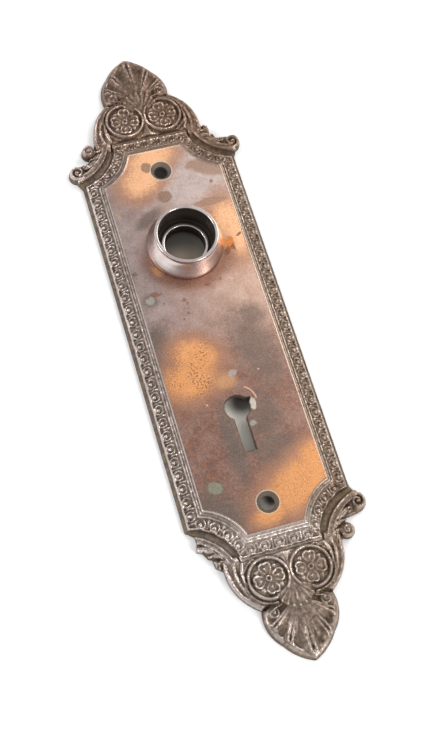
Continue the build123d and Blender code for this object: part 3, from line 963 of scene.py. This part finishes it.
class Wear(Nodes):
    """Node tree of the casting, with the places and noises that its layers share."""

    def __init__(self, name):
        super().__init__(name)
        self.flat = self.vector("MULTIPLY", self.mm, (1, 1, 0))
        self.wide = self.warp(self.flat, 0.05, 4.5)
        self.near = self.warp(self.flat, 0.25, 1.3)
        self.x, self.y, _ = self.split(self.wide)
        self.mottle = self.noise(self.near, 0.7, 4, 0.6)
        self.grain = self.noise(self.flat, 1.7, 3, 0.7)
        cloud = self.noise(self.near, 0.15, 3, 0.5)
        self.soft = self.plus(self.times(cloud, 0.65), self.times(self.mottle, 0.35))


def patina(m):
    """Patina: lilac on the left, warm pink on the right, red-brown below, with dull patches; the pale greyish
    lilac above is partly painted reflection of white light.
    """
    # paler above: patina and painted reflection of white light
    upper = m.mix(m.ramp(m.x, -24, 22), rgb(156, 136, 132), rgb(202, 166, 146))
    upper = m.mix(m.times(m.ramp(m.y, 46, 60), m.ramp(m.x, -14, 4)), upper, rgb(194, 176, 170))
    lower = m.mix(m.ramp(m.x, -4, 24), rgb(128, 88, 70), rgb(144, 104, 84))
    color = m.mix(m.ramp(m.y, -26, 22), lower, upper)
    shaded, lit = m.mix(1, color, rgb(236, 232, 230), "MULTIPLY"), m.mix(0.1, color, rgb(250, 240, 236))
    color = m.mix(m.ramp(m.soft, 0.32, 0.68), shaded, lit)
    tint = m.mix(m.ramp(m.mottle, 0.36, 0.64), rgb(98, 92, 98), rgb(170, 106, 66))
    color = m.mix(m.ramp(m.y, 8, -28, 0, 0.3), color, tint)
    place = m.plus(m.spread(m.mottle, 0.8), m.ovals(m.near, DULL))
    dull = m.times(m.ramp(place, 1.6, 0.5), m.ramp(m.x, -12, 10, 0.95, 0.72))
    return m.mix(dull, color, m.mix(m.soft, rgb(88, 76, 68), rgb(126, 107, 97)))


def bare_copper(m, color):
    """Patches rubbed down to copper, with a brown edge, pits and scores."""
    place = m.plus(m.spread(m.mottle, 0.7), m.ovals(m.near, COPPER))
    edge = m.mix(m.soft, rgb(152, 104, 78), rgb(190, 140, 108))
    color = m.mix(m.ramp(place, 2, 1, 0, 0.85), color, edge)
    bright = m.mix(m.ramp(m.y, -15, 30), rgb(226, 158, 98), rgb(244, 188, 142))
    color = m.mix(m.ramp(place, 1.3, 0.5), color, bright)
    worn = m.times(m.ramp(place, 1.3, 0.9), m.ramp(m.noise(m.wide, 0.11, 2), 0.36, 0.56))
    pits = m.times(m.ramp(m.noise(m.flat, 1.5, 1), 0.52, 0.64),
                   m.ramp(m.oval(m.flat, *MOST_PITTED), 1.4, 0.7, 0.3, 0.95))
    color = m.mix(m.times(worn, pits), color, rgb(138, 84, 52))
    scores = m.noise(m.vector("MULTIPLY", m.flat, (1, 0.35, 1)), 1.3, 3, 0.7)
    return m.mix(m.times(worn, m.ramp(scores, 0.5, 0.75, 0, 0.5)), color, rgb(176, 118, 82))


def stains_and_shadows(m, color):
    """Brown stain and painted shadow round the collar's foot, strongest below it, and the single stains, one
    of them a patch of painted shadow.
    """
    # brown stain and painted shadow round the collar's foot, strongest below it
    foot = m.ramp(m.vector("DISTANCE", m.near, (0, COLLAR_Y - 1.5, 0)), 22, 15.5)
    stain_and_shadow_below = m.ramp(m.split(m.near)[1], COLLAR_Y + 6, COLLAR_Y - 10, 0.2, 0.95)
    color = m.mix(m.times(foot, stain_and_shadow_below), color, m.mix(m.soft, rgb(118, 76, 58), rgb(160, 112, 90)))
    ragged = m.warp(m.warp(m.flat, 0.4, 0.9), 0.9, 0.5)
    for hue, blend, strength, places in STAINS_AND_SHADOW:
        spot = m.ramp(m.ovals(ragged, places), 1 + blend, 1 - blend, 0, strength)
        dark, pale = rgb(*[0.85 * c for c in hue]), rgb(*[min(255, 1.12 * c) for c in hue])
        color = m.mix(spot, color, m.mix(m.grain, dark, pale))
    return color


def field_marks(m, color):
    """Scratch, bright edges of the screw holes, dark specks and fine grain."""
    arc = m.size(m.math("SUBTRACT", m.vector("DISTANCE", m.flat, SCRATCH_MIDDLE), SCRATCH_R))
    here = m.ramp(m.oval(m.flat, *SCRATCH_OVAL), 1.2, 0.8)
    color = m.mix(m.times(m.ramp(arc, 0.4, 0.1), here), color, rgb(214, 170, 150))
    from_screw = m.vector("DISTANCE", m.vector("ABSOLUTE", m.flat), (0, SCREW_Y, 0))
    edge = m.size(m.math("SUBTRACT", from_screw, SINK_R + 0.12))
    color = m.mix(m.ramp(edge, 0.36, 0.1, 0, 0.7), color, rgb(216, 200, 184))
    specks = m.times(m.ramp(m.noise(m.flat, 1.15, 2), 0.64, 0.72), m.ramp(m.noise(m.flat, 0.12), 0.42, 0.6))
    color = m.mix(m.times(specks, 0.6), color, rgb(112, 74, 56))
    shaded, lit = m.mix(1, color, rgb(238, 234, 232), "MULTIPLY"), m.mix(0.06, color, rgb(255, 250, 246))
    return m.mix(m.ramp(m.grain, 0.3, 0.7), shaded, lit)


def relief_color(m, crevice_patina_and_shade, rubbed_and_highlight):
    """Carving: brown-grey, silvery on raised parts from wear and painted highlight, redder and darker above,
    with dark patina and painted shade in the crevices; painted reflection cools the left and painted light
    pales the lower end bar.
    """
    color = m.mix(m.ramp(m.mottle, 0.3, 0.7), rgb(102, 87, 77), rgb(144, 128, 118))
    silver = m.ramp(m.noise(m.wide, 0.05), 0.35, 0.65, 0, 1)
    # silvery on raised parts: rubbed bare metal and painted highlight
    color = m.mix(m.times(rubbed_and_highlight, m.ramp(silver, 0, 1, 0.6, 0.9)), color, rgb(212, 200, 191))
    # cooler on the left and warmer on the right; the cooler left is painted reflection of white light
    warmth = m.mix(m.ramp(m.x, -26, 26), (0.98, 1, 1.04, 1), (1, 0.94, 0.86, 1))
    color = m.mix(1, color, warmth, "MULTIPLY")
    color = m.mix(m.ramp(m.y, 55, 95, 0, 0.8), color, rgb(226, 208, 198), "MULTIPLY")
    # end bars: the lower one made paler as painted light, where it faces away from the lamps; the upper one
    # blended toward an even mid brown
    middle = m.ramp(m.size(m.x), 20, 15)
    for side, bar_color in ((-1, rgb(206, 194, 186)), (1, rgb(160, 138, 122))):
        bar = m.times(m.ramp(m.y, 74 * side, 82 * side), m.ramp(m.y, 93 * side, 88 * side, 0, 0.4))
        color = m.mix(m.times(bar, middle), color, bar_color)
    # crevices: dark patina and painted shade
    crevice = m.mix(m.ramp(m.noise(m.near, 0.25), 0.4, 0.62), rgb(66, 54, 46), rgb(112, 96, 62))
    return m.mix(m.times(crevice_patina_and_shade, 0.55), color, crevice)


def casting_material():
    """Worn copper field, brown carving with rubbed edges and painted highlight and shade, and dull holes and
    back, with painted shade in the holes.
    """
    m = Wear("worn_copper_casting")
    uneven = m.plus(m.attribute("cavity"), m.spread(m.grain, 0.3))
    # dark patina and painted shade in the crevices
    crevice_patina_and_shade = m.ramp(uneven, 0.04, -0.5)
    # rubbed bare metal and painted highlight on raised parts, weaker to the right and on the palmettes
    rubbed_and_highlight = m.times(m.ramp(uneven, 0, 0.3), m.ramp(m.x, 0, 26, 1, 0.5))
    rubbed_and_highlight = m.times(rubbed_and_highlight, m.ramp(m.size(m.y), 92, 106, 1, 0.6))
    zone, grime = m.attribute("zone"), m.attribute("grime")
    field = field_marks(m, stains_and_shadows(m, bare_copper(m, patina(m))))
    color = m.mix(zone, field, relief_color(m, crevice_patina_and_shade, rubbed_and_highlight))
    # holes, edge and back dull and dark: raw casting, with painted shade on the hole walls
    color = m.mix(grime, color, m.mix(m.mottle, rgb(70, 66, 60), rgb(112, 104, 94)))
    rough = m.plus(m.ramp(m.mottle, 0.3, 0.7, 0.36, 0.46), m.times(crevice_patina_and_shade, 0.2))
    rough = m.math("SUBTRACT", rough, m.times(m.times(rubbed_and_highlight, zone), 0.15))
    rough = m.math("ADD", rough, m.times(grime, 0.25), clamp=True)
    m.shade(Base_Color=color, Metallic=m.ramp(grime, 0, 1, 0.85, 0.4), Roughness=rough)
    m.bump(m.plus(m.noise(m.mm, 1.6, 4, 0.6), m.times(m.noise(m.mm, 6, 2), 0.4)), 0.22, 0.0003)
    return m.material


def collar_material():
    """Turned steel with fine lines, dark inside, with painted shade at its foot and in the neck under the
    rim.
    """
    m = Nodes("turned_steel")
    lines = m.noise(m.vector("MULTIPLY", m.mm, (0.12, 0.12, 3)), 1, 2)
    tint = m.noise(m.mm, 0.12, 3)
    grime = m.attribute("grime")
    color = m.mix(m.ramp(tint, 0.35, 0.65), rgb(214, 202, 198), rgb(190, 174, 171))
    color = m.mix(m.times(lines, 0.2), color, rgb(244, 240, 236))
    # dark inside, and painted shade at the foot and in the neck under the rim
    color = m.mix(grime, color, m.mix(tint, rgb(44, 37, 31), rgb(64, 54, 46)))
    rough = m.plus(m.ramp(lines, 0.3, 0.7, 0.16, 0.22), m.times(grime, 0.25))
    m.shade(Base_Color=color, Metallic=m.ramp(grime, 0, 1, 1, 0.5), Roughness=rough)
    m.bump(lines, 0.02, 0.0001)
    return m.material


# Floor: half size and height in metres, half sizes of the painted shadow under the plate, and its spots of
# painted shadow and painted light (place, reach, colour)
FLOOR_HALF, FLOOR_Z = 0.4, -0.0002
PAINTED_SHADE_HALF = (26, 84)
PAINTED_SHADOW_DARK, PAINTED_LIGHT_BROWN = (0.12, 0.11, 0.1, 1), (0.56, 0.44, 0.34, 1)
PAINTED_SHADE_SPOTS = (((3.5, KEY_Y + 3.5, 0), 7.5, PAINTED_SHADOW_DARK), ((2.6, 2 - SCREW_Y, 0), 3.6, PAINTED_SHADOW_DARK),
         ((-1.5, COLLAR_Y - 6, 0), 11, PAINTED_LIGHT_BROWN))


def floor_material():
    """White floor with painted shadow under the plate, darker towards the top, with dark and brown spots,
    seen only through the holes.
    """
    m = Nodes("pale_floor")
    x, y, _ = m.split(m.mm)
    pale = m.mix(m.noise(m.mm, 0.01), (0.92, 0.92, 0.92, 1), (0.95, 0.95, 0.95, 1))
    # painted shadow under the plate, darker towards the top; dark painted shadow under the keyhole and the
    # lower screw hole, and a lighter brown spot of painted light under the bore
    painted_shade = m.mix(m.ramp(y, 60, -30), (0.12, 0.11, 0.095, 1), (0.8, 0.76, 0.68, 1))
    for place, reach, color in PAINTED_SHADE_SPOTS:
        painted_shade = m.mix(m.ramp(m.vector("DISTANCE", m.mm, place), reach, 0.3 * reach), painted_shade, color)
    across, along = [m.math("DIVIDE", m.size(a), half) for a, half in zip((x, y), PAINTED_SHADE_HALF)]
    covered = m.ramp(m.math("MAXIMUM", across, along), 1, 0.85)
    m.shade(Base_Color=m.mix(covered, pale, painted_shade), Roughness=0.9, Specular_IOR_Level=0.2)
    return m.material


# Stage

# Lamps: name, place, size and power
LAMPS = (("key", (0.7, 0.45, 0.75), 0.55, 4.6), ("left", (-0.85, 0.2, 0.7), 0.35, 4.5),
         ("front", (0.5, -0.82, 0.6), 0.4, 5.5))
WORLD_LIGHT = 0.72

# Camera at the photograph's viewing angle, in degrees; focal length in heights of the picture
ELEVATION, YAW, ROLL = 67.2654, -28.9152, 13.1392
AIM, DISTANCE = (-1.6689, -12.9547, 0), 458.7986
SENSOR, FOCAL_SHARE = 36, 1200 / 729


def add_floor():
    """Floor that carries the plate's shadow."""
    h = FLOOR_HALF
    mesh = bpy.data.meshes.new("floor")
    mesh.from_pydata([(x, y, FLOOR_Z) for x, y in ((-h, -h), (h, -h), (h, h), (-h, h))], [], [(0, 1, 2, 3)])
    mesh.materials.append(floor_material())
    return add_object("floor", mesh)


def add_lamp(name, place, size, power):
    """Square lamp aimed at the plate's middle."""
    data = bpy.data.lights.new(name, "AREA")
    data.shape = "SQUARE"
    data.size = size
    data.energy = power
    lamp = add_object(name, data)
    lamp.location = place
    lamp.rotation_euler = (-Vector(place)).to_track_quat("-Z", "Y").to_euler()


def set_world():
    """Even white light, at full strength for the camera."""
    world = bpy.data.worlds.new("studio")
    bpy.context.scene.world = world
    world.use_nodes = True
    nodes, links = world.node_tree.nodes, world.node_tree.links
    light, path = nodes["Background"], nodes.new("ShaderNodeLightPath")
    strength = nodes.new("ShaderNodeMapRange")
    light.inputs["Color"].default_value = (1, 1, 1, 1)
    strength.inputs["To Min"].default_value = WORLD_LIGHT
    links.new(path.outputs["Is Camera Ray"], strength.inputs["Value"])
    links.new(strength.outputs["Result"], light.inputs["Strength"])


def add_camera():
    """Camera that looks at the aim from the photograph's side."""
    turns = ((YAW, "Z"), (90 - ELEVATION, "X"), (ROLL, "Z"))
    around_z, tip, roll = [Matrix.Rotation(math.radians(angle), 4, axis) for angle, axis in turns]
    camera = add_object("camera", bpy.data.cameras.new("camera"))
    camera.data.sensor_fit = "VERTICAL"
    camera.data.sensor_height = SENSOR
    camera.data.lens = FOCAL_SHARE * SENSOR
    camera.data.clip_start = 0.01
    aim, back = Matrix.Translation(Vector(AIM) * MM), Matrix.Translation((0, 0, DISTANCE * MM))
    camera.matrix_world = aim @ around_z @ tip @ roll @ back
    bpy.context.scene.camera = camera


# Pieces and scene, with the angle in degrees above which an edge is sharp

CASTING_SHARP, COLLAR_SHARP = 38, 40

plate = make_object("casting", casting_skin(), casting_material(), CASTING_SHARP)
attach(plate, "root")
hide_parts("backplate")

collar = make_object("collar", collar_skin(), collar_material(), COLLAR_SHARP)
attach(collar, "root")
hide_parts("knob_collar")

floor = add_floor()

for lamp_values in LAMPS:
    add_lamp(*lamp_values)
set_world()
add_camera()
bpy.context.scene.view_settings.view_transform = "Standard"
